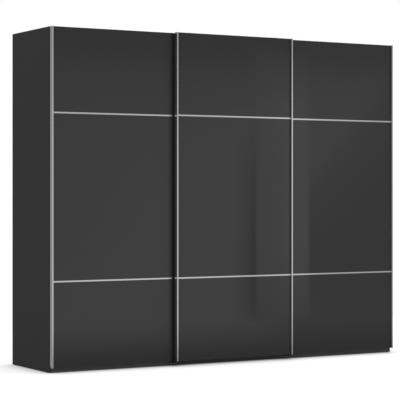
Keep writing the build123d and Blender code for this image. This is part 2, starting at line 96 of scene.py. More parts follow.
# Sockets of the node groups for surfaces
SURFACE_INPUTS = (
    ("Vector", "NodeSocketVector"), ("Color", "NodeSocketColor"), ("Tone Spread", "NodeSocketFloat"),
    ("Roughness", "NodeSocketFloat"), ("Roughness Spread", "NodeSocketFloat"),
)
SURFACE_OUTPUTS = (
    ("Color", "NodeSocketColor"), ("Roughness", "NodeSocketFloat"), ("Height", "NodeSocketFloat"),
)

# Strength of every bump, and samples of the painted shades that the floor shows
BUMP_STRENGTH = 0.6
SHADE_SAMPLES = 16

RIGHT = Vector((1, 0, 0))
REAR = Vector((0, 1, 0))
UP = Vector((0, 0, 1))


def colour(label, about, value):
    """A colour that a user can change."""
    return FloatVectorProperty(
        name=label, description=about, default=value, size=3, min=0.0, max=1.0, subtype="COLOR"
    )


def length(label, about, value):
    """A size that a user can change, in metres."""
    return FloatProperty(name=label, description=about, default=value, min=0.0, unit="LENGTH", precision=4)


def share(label, about, value):
    """A share from none to all that a user can change."""
    return FloatProperty(name=label, description=about, default=value, min=0.0, max=1.0, subtype="FACTOR")


def amount(label, about, value):
    """A plain number that a user can change."""
    return FloatProperty(name=label, description=about, default=value, min=0.0)


def count(label, about, value, least):
    """A whole number that a user can change."""
    return IntProperty(name=label, description=about, default=value, min=least)


def place(label, about, value):
    """A point in the wardrobe's frame, in metres."""
    return FloatVectorProperty(
        name=label, description=about, default=value, size=3, subtype="XYZ", unit="LENGTH"
    )


class WardrobeFinishes(bpy.types.PropertyGroup):
    """Colours and gloss of the wardrobe's surfaces."""

    laminate: colour("Laminate", "Matte graphite coating of the carcass boards", (0.0315, 0.0315, 0.0315))
    laminate_roughness: share("Laminate Roughness", "How matte the graphite boards are", 0.62)
    # The plinth's colour is the carcass laminate made lighter: painted light that makes up for the shade
    # under the doors
    plinth: colour("Plinth", "Matte graphite coating of the plinth boards", (0.066, 0.066, 0.066))
    door_board: colour("Door Board", "Coating on the back of the door boards", (0.038, 0.038, 0.039))
    back_board: colour("Back Board", "Printed face of the thin back boards", (0.060, 0.060, 0.062))
    dark_fibre: colour("Dark Fibre", "Darkest fibres on the back boards' raw face", (0.16, 0.105, 0.062))
    pale_fibre: colour("Pale Fibre", "Palest fibres on the back boards' raw face", (0.34, 0.235, 0.145))
    glass: colour("Glass", "Paint seen through the door glass", (0.0200, 0.0200, 0.0197))
    glass_roughness: share("Glass Roughness", "How soft reflections in the glass are", 0.03)
    glass_reflection: share("Glass Reflection", "Strength of the reflections in the glass", 0.50)
    aluminium: colour("Aluminium", "Satin anodised handles, strips and rails", (0.64, 0.64, 0.645))
    aluminium_roughness: share("Aluminium Roughness", "How satin the aluminium is", 0.16)
    zinc: colour("Zinc", "Plated steel of the hangers and fasteners", (0.55, 0.56, 0.57))
    nylon: colour("Nylon", "Moulded wheels and glides", (0.62, 0.61, 0.58))
    rubber: colour("Rubber", "Stops at the ends of the rail", (0.020, 0.020, 0.020))
    plastic: colour("Plastic", "Dark moulded fittings", (0.045, 0.045, 0.047))


class WardrobeFasteners(bpy.types.PropertyGroup):
    """Sizes of the small fasteners, covers and plugs, and of the places where they sit."""

    screw_radius: length("Screw Radius", "Radius of the screw heads on the hangers", 0.0042)
    screw_height: length("Screw Height", "Height of the screw heads on the hangers", 0.0024)
    washer_radius: length("Washer Radius", "Radius of the washers under the hanger screws", 0.0068)
    washer_height: length("Washer Thickness", "Thickness of the washers under the hanger screws", 0.0010)
    slot_spacing: length("Slot Spacing", "Distance between the two slots of a hanger", 0.036)
    slot_rise: length("Slot Rise", "Height of the slots over the hanger's lower edge", 0.026)
    hanger_plate: length("Hanger Plate", "Thickness of the hangers", 0.003)
    small_screw_radius: length("Small Screw Radius", "Radius of the screw heads in the carcass", 0.0030)
    small_screw_height: length("Small Screw Height", "Height of the screw heads in the carcass", 0.0016)
    rail_screws: count("Rail Screws", "Screws along the running rail", 9, 2)
    rail_inset: length("Rail Inset", "Distance of the end screws from the running rail's ends", 0.11)
    rail_base: length("Rail Base", "Thickness of the running rail's base", 0.003)
    rail_offset: length("Rail Offset", "Distance of the rail screws behind the middle of the tracks", 0.005)
    cup_flange: length("Cup Flange", "Thickness of the clothes rail cups' flanges", 0.003)
    cup_reach: length("Cup Reach", "Distance of the cup screws from the clothes rail's axis", 0.0195)
    guide_plate: length("Guide Plate", "Thickness of the door guides' plates", 0.0025)
    guide_spacing: length("Guide Spacing", "Distance between the two screws of a door guide", 0.022)
    guide_rise: length("Guide Rise", "Height of those screws over the door guide's lower edge", 0.008)
    nail_radius: length("Nail Radius", "Radius of the nail heads in the back boards", 0.0028)
    nail_height: length("Nail Height", "Height of the nail heads in the back boards", 0.0007)
    nail_pitch: length("Nail Pitch", "Distance between the nails along an edge", 0.110)
    cover_radius: length("Cover Radius", "Radius of the covers over the joint fittings", 0.0088)
    cover_height: length("Cover Height", "Height of the covers over the joint fittings", 0.0012)
    cover_inset: length("Cover Inset", "Distance of the covers from the ends of a board", 0.034)
    cover_edge: length("Cover Edge", "Distance of the covers from the long edges of a board", 0.07)
    handle_wall: length("Handle Wall", "Thickness of the hollow handles' walls", 0.0016)
    plug_depth: length("Plug Depth", "How far the plugs go into the handles", 0.008)
    plug_sunk: length("Plug Sunk", "How far the plugs lie below the handles' ends", 0.0003)
    plug_ease: length("Plug Ease", "Rounding of the plugs' edges", 0.0006)
    seed: count("Seed", "Seed for the way each screw recess points", 7, 0)


class WardrobeStage(bpy.types.PropertyGroup):
    """Camera, floor and light of the studio."""

    camera_place: place("Camera Place", "Where the camera stands", (-5.6056, -9.5395, 1.1513))
    camera_turn: FloatProperty(
        name="Camera Turn", description="Turn of the level camera about the upright axis",
        default=math.radians(-30.03), subtype="ANGLE",
    )
    camera_lens: amount("Lens", "Focal length of the camera in millimetres", 142.92)
    camera_shift: FloatProperty(name="Shift", description="Upright shift of the lens", default=-0.0163)
    floor_margin: length("Floor Margin", "Floor around the wardrobe", 2.2)
    floor_tone: share("Floor Tone", "How pale the floor is", 0.90)
    floor_light: share("Floor Light", "Share of its own light that the floor shows", 0.35)
    floor_lift: share("Floor Lift", "White that the floor shows beside that light", 0.84)
    # The floor's contact shadow and soft shade are painted shade in its glow, made by ambient occlusion
    contact_reach: length("Contact Reach", "Reach of the shadow where the wardrobe meets the floor", 0.13)
    contact_strength: share("Contact Strength", "Strength of that shadow", 0.88)
    shade_reach: length("Shade Reach", "Reach of the soft shade on the side away from the light", 0.60)
    shade_strength: share("Shade Strength", "Strength of that soft shade", 0.40)
    shade_lean: FloatVectorProperty(
        name="Shade Lean", description="Way that the light behind the soft shade comes from",
        default=(0.60, -0.50, 0.62), size=3, subtype="DIRECTION",
    )
    sky_level: amount("Sky Level", "Even light from all around", 1.0)
    card_lift: length("Card Lift", "Height over the floor of the cards that only reflections see", 0.004)
    screen_distance: length("Screen Distance", "Distance of the screen that the doors reflect", 12.0)
    screen_reach: length("Screen Reach", "How far that screen reaches to each side", 30.0)
    screen_height: length("Screen Height", "Height of that screen", 4.2)
    screen_slant: amount("Screen Slant", "Sideways run of its tones over each metre of its floor", 0.58)
    screen_lean: amount("Screen Lean", "Sideways run of its tones over each metre of its height", 1.0)
    screen_bright: amount("Screen Bright", "Brightest part of the screen", 0.92)
    screen_dim: amount("Screen Dim", "Dimmest part of the screen's wall", 0.30)
    screen_foot: amount("Screen Foot", "Dimmest part of the screen's floor", 0.31)
    panel_foot: place("Panel Foot", "Left end of the light panel that the doors reflect", (1.97, -3.2, 0.004))
    panel_width: length("Panel Width", "Width of that panel", 0.63)
    panel_height: length("Panel Height", "Height of that panel", 2.45)
    panel_bright: amount("Panel Bright", "Brightest part of that panel", 0.96)
    panel_dim: amount("Panel Dim", "Dimmest part of that panel", 0.48)
    flap_width: length("Flap Width", "Width of the dark flap on the panel's left", 0.22)
    flap_height: length("Flap Height", "Height of that flap", 1.90)
    flap_light: amount("Flap Light", "Lightest part of that flap", 0.76)
    flap_dark: amount("Flap Dark", "Darkest part of that flap", 0.29)
    flank_level: amount("Flank Level", "Brightness of the screens beside the two ends", 0.33)
    flank_height: length("Flank Height", "Height of those screens", 12.0)
    flank_near: place("Flank Near", "Foot of the right one at its near end", (14.0, -3.0, 0.0))
    flank_far: place("Flank Far", "Foot of the right one at its far end", (1.0, 13.0, 0.0))


def finishes():
    """The finishes as they are set now."""
    return bpy.context.scene.wardrobe_finishes


def fasteners():
    """The fastener sizes as they are set now."""
    return bpy.context.scene.wardrobe_fasteners


def opaque(rgb):
    """A colour with full alpha, as shader sockets take it."""
    return (*rgb, 1.0)


def add(tree, kind, values=None, **settings):
    """Add a node, set its options, and fill its inputs with sockets or plain values."""
    node = tree.nodes.new(kind)
    for option, value in settings.items():
        setattr(node, option, value)
    for socket, value in (values or {}).items():
        if isinstance(value, bpy.types.NodeSocket):
            tree.links.new(value, node.inputs[socket])
        else:
            node.inputs[socket].default_value = value
    return node


def new_group(name, kind, inputs, outputs):
    """An empty node group with named sockets, and its two end nodes."""
    tree = bpy.data.node_groups.new(name, kind)
    for label, socket_type in inputs:
        tree.interface.new_socket(label, in_out="INPUT", socket_type=socket_type)
    for label, socket_type in outputs:
        tree.interface.new_socket(label, in_out="OUTPUT", socket_type=socket_type)
    return tree, tree.nodes.new("NodeGroupInput").outputs, tree.nodes.new("NodeGroupOutput").inputs


def shifted(tree, noise, spread):
    """A factor near one that follows a noise by the given spread."""
    centred = add(tree, "ShaderNodeMath", {0: noise, 1: 0.5}, operation="SUBTRACT")
    scaled = add(tree, "ShaderNodeMath", {0: centred.outputs[0], 1: spread}, operation="MULTIPLY")
    return add(tree, "ShaderNodeMath", {0: scaled.outputs[0], 1: 1.0}, operation="ADD").outputs[0]


def tinted(tree, base, factor):
    """A colour made lighter or darker by a factor."""
    return add(tree, "ShaderNodeVectorMath", {0: base, "Scale": factor}, operation="SCALE").outputs[0]


def fill_outputs(tree, given, out, tone_noise, gloss_noise, height):
    """Fill the outputs of a surface group from its noises."""
    tone = shifted(tree, tone_noise, given["Tone Spread"])
    gloss = shifted(tree, gloss_noise, given["Roughness Spread"])
    rough = add(tree, "ShaderNodeMath", {0: given["Roughness"], 1: gloss}, operation="MULTIPLY")
    tree.links.new(tinted(tree, given["Color"], tone), out["Color"])
    tree.links.new(rough.outputs[0], out["Roughness"])
    tree.links.new(height, out["Height"])


def fine_grain_group():
    """Fine grain with faint broad clouds, for coated boards and moulded pieces."""
    name = "Fine Grain"
    if name in bpy.data.node_groups:
        return bpy.data.node_groups[name]
    inputs = (*SURFACE_INPUTS, ("Grain Scale", "NodeSocketFloat"))
    tree, given, out = new_group(name, "ShaderNodeTree", inputs, SURFACE_OUTPUTS)
    grain = add(tree, "ShaderNodeTexNoise", {
        "Vector": given["Vector"], "Scale": given["Grain Scale"], "Detail": 5.0, "Roughness": 0.6,
    })
    clouds = add(tree, "ShaderNodeTexNoise", {"Vector": given["Vector"], "Scale": 3.5, "Detail": 3.0})
    blend = add(tree, "ShaderNodeMix", {0: 0.3, 2: grain.outputs[0], 3: clouds.outputs[0]}, data_type="FLOAT")
    fill_outputs(tree, given, out, blend.outputs[0], grain.outputs[0], grain.outputs[0])
    return tree


def brushed_lines_group():
    """Fine lines drawn out along one axis, as on extruded and brushed metal."""
    name = "Brushed Lines"
    if name in bpy.data.node_groups:
        return bpy.data.node_groups[name]
    tree, given, out = new_group(name, "ShaderNodeTree", SURFACE_INPUTS, SURFACE_OUTPUTS)
    fine = add(tree, "ShaderNodeTexNoise", {"Vector": given["Vector"], "Scale": 1.0, "Detail": 4.0})
    broad = add(tree, "ShaderNodeTexNoise", {"Vector": given["Vector"], "Scale": 0.13, "Detail": 2.0})
    blend = add(tree, "ShaderNodeMix", {0: 0.4, 2: fine.outputs[0], 3: broad.outputs[0]}, data_type="FLOAT")
    fill_outputs(tree, given, out, blend.outputs[0], blend.outputs[0], fine.outputs[0])
    return tree


def use_group(tree, group, values):
    """Place a shader node group in a material with its own values."""
    return add(tree, "ShaderNodeGroup", values, node_tree=group)


def new_material(name):
    """An empty node material with its shader and its Object coordinates."""
    material = bpy.data.materials.new(name)
    material.use_nodes = True
    tree = material.node_tree
    shader = tree.nodes["Principled BSDF"]
    where = tree.nodes.new("ShaderNodeTexCoord").outputs["Object"]
    return material, tree, shader, where


def coated(tree, shader, base, rough):
    """Feed a colour and a roughness to the shader."""
    tree.links.new(base, shader.inputs["Base Color"])
    tree.links.new(rough, shader.inputs["Roughness"])


def bumped(tree, shader, height, depth):
    """Feed a height to the shader's normal, as a bump of the given depth in metres."""
    bump = add(tree, "ShaderNodeBump", {"Height": height, "Distance": depth, "Strength": BUMP_STRENGTH})
    tree.links.new(bump.outputs["Normal"], shader.inputs["Normal"])


def grained(name, rgb, roughness, grain_scale, tone_spread, specular, depth):
    """A coated or moulded surface with fine grain."""
    if name in bpy.data.materials:
        return bpy.data.materials[name]
    material, tree, shader, where = new_material(name)
    grain = use_group(tree, fine_grain_group(), {
        "Vector": where, "Color": opaque(rgb), "Grain Scale": grain_scale, "Tone Spread": tone_spread,
        "Roughness": roughness, "Roughness Spread": 0.25,
    })
    coated(tree, shader, grain.outputs["Color"], grain.outputs["Roughness"])
    shader.inputs["Specular IOR Level"].default_value = specular
    bumped(tree, shader, grain.outputs["Height"], depth)
    return material


def laminate(name, rgb):
    """Matte laminate with a fine pearl grain."""
    return grained(
        name, rgb, roughness=finishes().laminate_roughness,
        grain_scale=900.0, tone_spread=0.16, specular=0.05, depth=0.00004,
    )


def door_coating():
    """Smooth dark coating on the door boards."""
    return grained(
        "door_coating", finishes().door_board, roughness=0.55,
        grain_scale=700.0, tone_spread=0.14, specular=0.25, depth=0.00003,
    )


def plastic():
    """Dark moulded plastic with a spark-eroded grain."""
    return grained(
        "dark_plastic", finishes().plastic, roughness=0.48,
        grain_scale=2600.0, tone_spread=0.20, specular=0.40, depth=0.00005,
    )


def nylon():
    """Pale moulded nylon."""
    return grained(
        "moulded_nylon", finishes().nylon, roughness=0.38,
        grain_scale=1800.0, tone_spread=0.10, specular=0.45, depth=0.00003,
    )


def rubber():
    """Dull black rubber."""
    return grained(
        "stop_rubber", finishes().rubber, roughness=0.78,
        grain_scale=1500.0, tone_spread=0.30, specular=0.25, depth=0.00008,
    )


def back_board():
    """Thin board: printed towards the bays, raw brown fibre towards the wall."""
    name = "fibre_back_board"
    if name in bpy.data.materials:
        return bpy.data.materials[name]
    look = finishes()
    material, tree, shader, where = new_material(name)
    middle = middle_of("middle_back_panel").y
    depth = add(tree, "ShaderNodeSeparateXYZ", {0: where}).outputs["Y"]
    raw_side = add(tree, "ShaderNodeMath", {0: depth, 1: middle}, operation="GREATER_THAN").outputs[0]
    fibres = add(tree, "ShaderNodeTexNoise", {
        "Vector": where, "Scale": 260.0, "Detail": 8.0, "Roughness": 0.7,
    })
    flecks = add(tree, "ShaderNodeTexVoronoi", {"Vector": where, "Scale": 420.0, "Randomness": 1.0})
    ramp = add(tree, "ShaderNodeValToRGB", {0: fibres.outputs[0]})
    ends = ((0.3, look.dark_fibre), (0.75, look.pale_fibre))
    for end, (position, rgb) in zip(ramp.color_ramp.elements, ends):
        end.position = position
        end.color = opaque(rgb)
    print_grain = use_group(tree, fine_grain_group(), {
        "Vector": where, "Color": opaque(look.back_board), "Grain Scale": 500.0, "Tone Spread": 0.2,
        "Roughness": 0.6, "Roughness Spread": 0.2,
    })
    mixed = add(tree, "ShaderNodeMix", {
        0: raw_side, 6: print_grain.outputs["Color"], 7: ramp.outputs["Color"],
    }, data_type="RGBA")
    rough = add(tree, "ShaderNodeMix", {
        0: raw_side, 2: print_grain.outputs["Roughness"], 3: 0.9,
    }, data_type="FLOAT")
    coated(tree, shader, mixed.outputs[2], rough.outputs[0])
    shader.inputs["Specular IOR Level"].default_value = 0.2
    bumped(tree, shader, flecks.outputs["Distance"], 0.00006)
    return material


def painted_glass():
    """Glass painted on its back, with faint wiping marks in its polish."""
    name = "painted_glass"
    if name in bpy.data.materials:
        return bpy.data.materials[name]
    look = finishes()
    material, tree, shader, where = new_material(name)
    stretched = add(tree, "ShaderNodeMapping", {
        "Vector": where, "Scale": (1.6, 1.0, 0.7),
    }, vector_type="POINT")
    marks = add(tree, "ShaderNodeTexNoise", {
        "Vector": stretched.outputs[0], "Scale": 4.0, "Detail": 6.0, "Roughness": 0.65, "Distortion": 0.6,
    })
    paint = use_group(tree, fine_grain_group(), {
        "Vector": where, "Color": opaque(look.glass), "Grain Scale": 1400.0, "Tone Spread": 0.07,
        "Roughness": look.glass_roughness, "Roughness Spread": 0.1,
    })
    film = add(tree, "ShaderNodeMapRange", {
        "Value": marks.outputs[0], "From Min": 0.35, "From Max": 0.75, "To Min": 0.0, "To Max": 0.025,
    })
    rough = add(tree, "ShaderNodeMath", {0: paint.outputs["Roughness"], 1: film.outputs[0]}, operation="ADD")
    coated(tree, shader, paint.outputs["Color"], rough.outputs[0])
    shader.inputs["Specular IOR Level"].default_value = look.glass_reflection
    return material


def aluminium(name, run):
    """Satin anodised aluminium with drawing lines along the run of the extrusion."""
    if name in bpy.data.materials:
        return bpy.data.materials[name]
    look = finishes()
    material, tree, shader, where = new_material(name)
    across = 1500.0
    along = 4.0
    scale = [along if axis else across for axis in run]
    drawn = add(tree, "ShaderNodeMapping", {"Vector": where, "Scale": scale}, vector_type="POINT")
    lines = use_group(tree, brushed_lines_group(), {
        "Vector": drawn.outputs[0], "Color": opaque(look.aluminium), "Tone Spread": 0.10,
        "Roughness": look.aluminium_roughness, "Roughness Spread": 0.45,
    })
    coated(tree, shader, lines.outputs["Color"], lines.outputs["Roughness"])
    shader.inputs["Metallic"].default_value = 1.0
    bumped(tree, shader, lines.outputs["Height"], 0.00001)
    return material


def upright_aluminium():
    """Aluminium drawn upright, for the handles."""
    return aluminium("aluminium_upright", UP)


def level_aluminium():
    """Aluminium drawn level, for the cross strips and the rails."""
    return aluminium("aluminium_level", RIGHT)


def zinc():
    """Zinc-plated steel with a faint crystal pattern."""
    name = "zinc_steel"
    if name in bpy.data.materials:
        return bpy.data.materials[name]
    material, tree, shader, where = new_material(name)
    crystals = add(tree, "ShaderNodeTexVoronoi", {"Vector": where, "Scale": 210.0, "Randomness": 1.0})
    cell_tone = add(tree, "ShaderNodeSeparateColor", {0: crystals.outputs["Color"]}).outputs[0]
    grain = use_group(tree, fine_grain_group(), {
        "Vector": where, "Color": opaque(finishes().zinc), "Grain Scale": 1200.0, "Tone Spread": 0.2,
        "Roughness": 0.36, "Roughness Spread": 0.4,
    })
    base = tinted(tree, grain.outputs["Color"], shifted(tree, cell_tone, 0.18))
    coated(tree, shader, base, grain.outputs["Roughness"])
    shader.inputs["Metallic"].default_value = 1.0
    bumped(tree, shader, grain.outputs["Height"], 0.00002)
    return material


def nodes_ending(*endings):
    """The CAD nodes whose names end in one of the given words."""
    found = [node for name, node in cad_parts.items() if name.endswith(endings)]
    if not found:
        raise RuntimeError(f"no node ends in {endings}")
    return found


def cover(nodes, material):
    """Give a finish to CAD nodes."""
    for node in nodes:
        node.data.materials.clear()
        node.data.materials.append(material)


def turned_piece(name, outline, radius, height, facets=HEAD_FACETS):
    """A small round piece turned from an outline, standing on the origin."""
    mesh = bpy.data.meshes.new(name)
    shape = bmesh.new()
    verts = [shape.verts.new((x * radius, 0.0, z * height)) for x, z in outline]
    edges = [shape.edges.new(pair) for pair in zip(verts, verts[1:])]
    bmesh.ops.spin(shape, geom=verts + edges, axis=UP, cent=(0, 0, 0), angle=math.tau, steps=facets)
    bmesh.ops.remove_doubles(shape, verts=shape.verts, dist=MERGE_DISTANCE)
    bmesh.ops.recalc_face_normals(shape, faces=shape.faces)
    shape.to_mesh(mesh)
    shape.free()
    return mesh


def box_verts(shape, size, centre):
    """Add a box to a shape."""
    verts = bmesh.ops.create_cube(shape, size=1.0)["verts"]
    bmesh.ops.scale(shape, vec=size, verts=verts)
    bmesh.ops.translate(shape, vec=centre, verts=verts)


def screw_head(radius, height):
    """A domed screw head with a cross recess, standing on the origin."""
    wide, tall = radius * CUTTING_SCALE, height * CUTTING_SCALE
    recess = bpy.data.meshes.new("screw_recess")
    shape = bmesh.new()
    for arm in ((RECESS_LENGTH, RECESS_WIDTH), (RECESS_WIDTH, RECESS_LENGTH)):
        box_verts(shape, Vector((arm[0] * wide, arm[1] * wide, tall)), UP * tall)
    shape.to_mesh(recess)
    shape.free()
    head = bpy.data.objects.new("screw_blank", turned_piece("screw_blank", SCREW_OUTLINE, wide, tall))
    tool = bpy.data.objects.new("screw_recess", recess)
    for item in (head, tool):
        bpy.context.scene.collection.objects.link(item)
    cut = head.modifiers.new("recess", "BOOLEAN")
    cut.object = tool
    cut.operation = "DIFFERENCE"
    cut.use_self = True
    made = plain_mesh(head, "screw_head")
    for vert in made.vertices:
        vert.co /= CUTTING_SCALE
    for item in (head, tool):
        bpy.data.objects.remove(item)
    return made


def plain_mesh(item, name):
    """The evaluated shape of an object as a plain mesh."""
    evaluated = item.evaluated_get(bpy.context.evaluated_depsgraph_get())
    mesh = bpy.data.meshes.new_from_object(evaluated)
    mesh.name = name
    return mesh


def row_tree():
    """Geometry nodes that set a row of like pieces along a line."""
    name = "Row of Pieces"
    if name in bpy.data.node_groups:
        return bpy.data.node_groups[name]
    inputs = [("Start", "NodeSocketVector"), ("Step", "NodeSocketVector"), ("Count", "NodeSocketInt")]
    inputs += [("Facing", "NodeSocketVector"), ("Most Turn", "NodeSocketFloat"), ("Seed", "NodeSocketInt")]
    inputs += [("Piece", "NodeSocketObject"), ("Finish", "NodeSocketMaterial")]
    outputs = [("Geometry", "NodeSocketGeometry")]
    tree, given, out = new_group(name, "GeometryNodeTree", inputs, outputs)
    line = add(tree, "GeometryNodeMeshLine", {
        "Count": given["Count"], "Start Location": given["Start"], "Offset": given["Step"],
    }, mode="OFFSET")
    aim = add(tree, "FunctionNodeAlignRotationToVector", {"Vector": given["Facing"]}, axis="Z")
    turn = add(tree, "FunctionNodeRandomValue", {
        2: 0.0, 3: given["Most Turn"], "Seed": given["Seed"],
    }, data_type="FLOAT")
    spin = add(tree, "FunctionNodeAxisAngleToRotation", {"Axis": UP, "Angle": turn.outputs[1]})
    pose = add(tree, "FunctionNodeRotateRotation", {
        "Rotation": aim.outputs[0], "Rotate By": spin.outputs[0],
    }, rotation_space="LOCAL")
    piece = add(tree, "GeometryNodeObjectInfo", {"Object": given["Piece"]}, transform_space="ORIGINAL")
    set_out = add(tree, "GeometryNodeInstanceOnPoints", {
        "Points": line.outputs[0], "Instance": piece.outputs["Geometry"], "Rotation": pose.outputs[0],
    })
    real = add(tree, "GeometryNodeRealizeInstances", {"Geometry": set_out.outputs[0]})
    done = add(tree, "GeometryNodeSetMaterial", {"Geometry": real.outputs[0], "Material": given["Finish"]})
    tree.links.new(done.outputs[0], out["Geometry"])
    return tree


def row_mesh(head, start, step, count, facing, most_turn, material):
    """One row of a head along a line, as a plain mesh."""
    tree = row_tree()
    source = bpy.data.objects.new("row_piece", head)
    carrier = bpy.data.objects.new("row_carrier", bpy.data.meshes.new("row_carrier"))
    for item in (source, carrier):
        bpy.context.scene.collection.objects.link(item)
    values = {
        "Start": start, "Step": step, "Count": count, "Facing": facing, "Most Turn": most_turn,
        "Seed": fasteners().seed, "Piece": source, "Finish": material,
    }
    rows = carrier.modifiers.new("rows", "NODES")
    rows.node_group = tree
    for socket in tree.interface.items_tree:
        if socket.in_out == "INPUT":
            rows[socket.identifier] = values[socket.name]
    mesh = plain_mesh(carrier, "row")
    for item in (source, carrier):
        bpy.data.objects.remove(item)
    return mesh


def joined(name, meshes, material, body):
    """Several plain meshes as one piece that rides on a body."""
    shape = bmesh.new()
    for mesh in meshes:
        shape.from_mesh(mesh)
    whole = bpy.data.meshes.new(name)
    shape.to_mesh(whole)
    shape.free()
    whole.materials.append(material)
    piece = bpy.data.objects.new(name, whole)
    bpy.context.scene.collection.objects.link(piece)
    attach(piece, body)
    return piece


def middle_of(node):
    """The centre of a CAD node's box."""
    low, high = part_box(node)
    return (low + high) / 2


class WARDROBE_OT_boards(bpy.types.Operator):
    """Finish the carcass boards, the door boards and the back boards"""

    bl_idname = "wardrobe.boards"
    bl_label = "Finish the Boards"

    def execute(self, context):
        look = finishes()
        boards = nodes_ending("side_panel", "partition", "floor_panel", "top_panel", "hat_shelf")
        cover(boards, laminate("graphite_laminate", look.laminate))
        # The plinth boards get a lighter copy of the laminate, as painted light against the shade under the
        # doors
        cover(nodes_ending("plinth_boards"), laminate("plinth_laminate", look.plinth))
        cover(nodes_ending("door_board"), door_coating())
        cover(nodes_ending("back_panel"), back_board())
        return {"FINISHED"}


class WARDROBE_OT_glass(bpy.types.Operator):
    """Finish the glass of the three doors"""

    bl_idname = "wardrobe.glass"
    bl_label = "Finish the Glass"

    def execute(self, context):
        cover(nodes_ending("glass"), painted_glass())
        return {"FINISHED"}


class WARDROBE_OT_aluminium(bpy.types.Operator):
    """Finish the handles, cross strips, running rail and clothes rails"""

    bl_idname = "wardrobe.aluminium"
    bl_label = "Finish the Aluminium"

    def execute(self, context):
        cover(nodes_ending("handle"), upright_aluminium())
        cover(nodes_ending("cross_strips", "running_rail", "clothes_rail"), level_aluminium())
        return {"FINISHED"}


class WARDROBE_OT_fittings(bpy.types.Operator):
    """Finish the hangers, wheels, stops, guides, cups and glides"""

    bl_idname = "wardrobe.fittings"
    bl_label = "Finish the Fittings"

    def execute(self, context):
        cover(nodes_ending("hangers", "axles", "shelf_supports", "rail_cups"), zinc())
        cover(nodes_ending("wheel"), nylon())
        cover(nodes_ending("end_stops"), rubber())
        cover(nodes_ending("door_guides", "back_joint_strips", "floor_glides"), plastic())
        return {"FINISHED"}


class WARDROBE_OT_hanger_screws(bpy.types.Operator):
    """Set screws and washers in the slots of the hangers"""

    bl_idname = "wardrobe.hanger_screws"
    bl_label = "Add Hanger Screws"

    def execute(self, context):
        sizes = fasteners()
        washer = turned_piece("washer", WASHER_OUTLINE, sizes.washer_radius, sizes.washer_height)
        screw = screw_head(sizes.screw_radius, sizes.screw_height)
        step = RIGHT * sizes.slot_spacing
        for door in THIRDS:
            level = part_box(f"{door}_door_hangers")[0].z + sizes.slot_rise
            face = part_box(f"{door}_door_board")[1].y + sizes.hanger_plate
            rows = []
            for end in ENDS:
                middle = middle_of(f"{door}_door_{end}_wheel").x
                start = Vector((middle - sizes.slot_spacing / 2, face, level))
                on_washer = start + REAR * sizes.washer_height
                rows.append(row_mesh(washer, start, step, 2, REAR, 0.0, zinc()))
                rows.append(row_mesh(screw, on_washer, step, 2, REAR, math.tau, zinc()))
            joined(f"{door}_door_hanger_screws", rows, zinc(), f"{door}_door")
        return {"FINISHED"}


class WARDROBE_OT_carcass_screws(bpy.types.Operator):
    """Set screws along the running rail, in the clothes rail cups and in the door guides"""

    bl_idname = "wardrobe.carcass_screws"
    bl_label = "Add Carcass Screws"

    def execute(self, context):
        sizes = fasteners()
        screw = screw_head(sizes.small_screw_radius, sizes.small_screw_height)
        rows = [self.rail_row(screw, sizes)]
        for bay in THIRDS:
            rows += self.cup_rows(screw, sizes, bay)
        for end in ENDS:
            rows.append(self.guide_row(screw, sizes, end))
        joined("carcass_screws", rows, zinc(), "carcass")
        return {"FINISHED"}

    def rail_row(self, screw, sizes):
        """Screws through the running rail's base, between its two tracks."""
        low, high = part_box("running_rail")
        front_track = middle_of("middle_door_left_wheel").y
        rear_track = middle_of("left_door_left_wheel").y
        between = (front_track + rear_track) / 2 + sizes.rail_offset
        base_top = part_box("middle_top_panel")[1].z + sizes.rail_base
        start = Vector((low.x + sizes.rail_inset, between, base_top))
        pitch = (high.x - low.x - 2 * sizes.rail_inset) / (sizes.rail_screws - 1)
        return row_mesh(screw, start, RIGHT * pitch, sizes.rail_screws, UP, math.tau, zinc())

    def cup_rows(self, screw, sizes, bay):
        """Two screws in each of the cups that hold a bay's clothes rail."""
        low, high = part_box(f"{bay}_floor_panel")
        rail = middle_of(f"{bay}_clothes_rail")
        step = REAR * 2 * sizes.cup_reach
        rows = []
        for face, inward in ((low.x, 1), (high.x, -1)):
            start = Vector((face + inward * sizes.cup_flange, rail.y - sizes.cup_reach, rail.z))
            rows.append(row_mesh(screw, start, step, 2, RIGHT * inward, math.tau, zinc()))
        return rows

    def guide_row(self, screw, sizes, end):
        """Two screws in the door guide before a partition."""
        low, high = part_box("door_guides")
        left = middle_of(f"{end}_partition").x - sizes.guide_spacing / 2
        start = Vector((left, high.y - sizes.guide_plate, low.z + sizes.guide_rise))
        return row_mesh(screw, start, RIGHT * sizes.guide_spacing, 2, -REAR, math.tau, zinc())


class WARDROBE_OT_back_nails(bpy.types.Operator):
    """Set nails along the top and bottom edges of the back boards"""

    bl_idname = "wardrobe.back_nails"
    bl_label = "Add Back Nails"

    def execute(self, context):
        sizes = fasteners()
        nail = turned_piece("nail", NAIL_OUTLINE, sizes.nail_radius, sizes.nail_height, NAIL_FACETS)
        step = RIGHT * sizes.nail_pitch
        rows = []
        for bay in THIRDS:
            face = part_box(f"{bay}_back_panel")[1].y
            for board in (f"{bay}_floor_panel", f"{bay}_top_panel"):
                low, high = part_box(board)
                nails = int((high.x - low.x) / sizes.nail_pitch)
                middle = (low + high) / 2
                start = Vector((middle.x, face, middle.z)) - step * (nails - 1) / 2
                rows.append(row_mesh(nail, start, step, nails, REAR, 0.0, zinc()))
        joined("back_nails", rows, zinc(), "carcass")
        return {"FINISHED"}


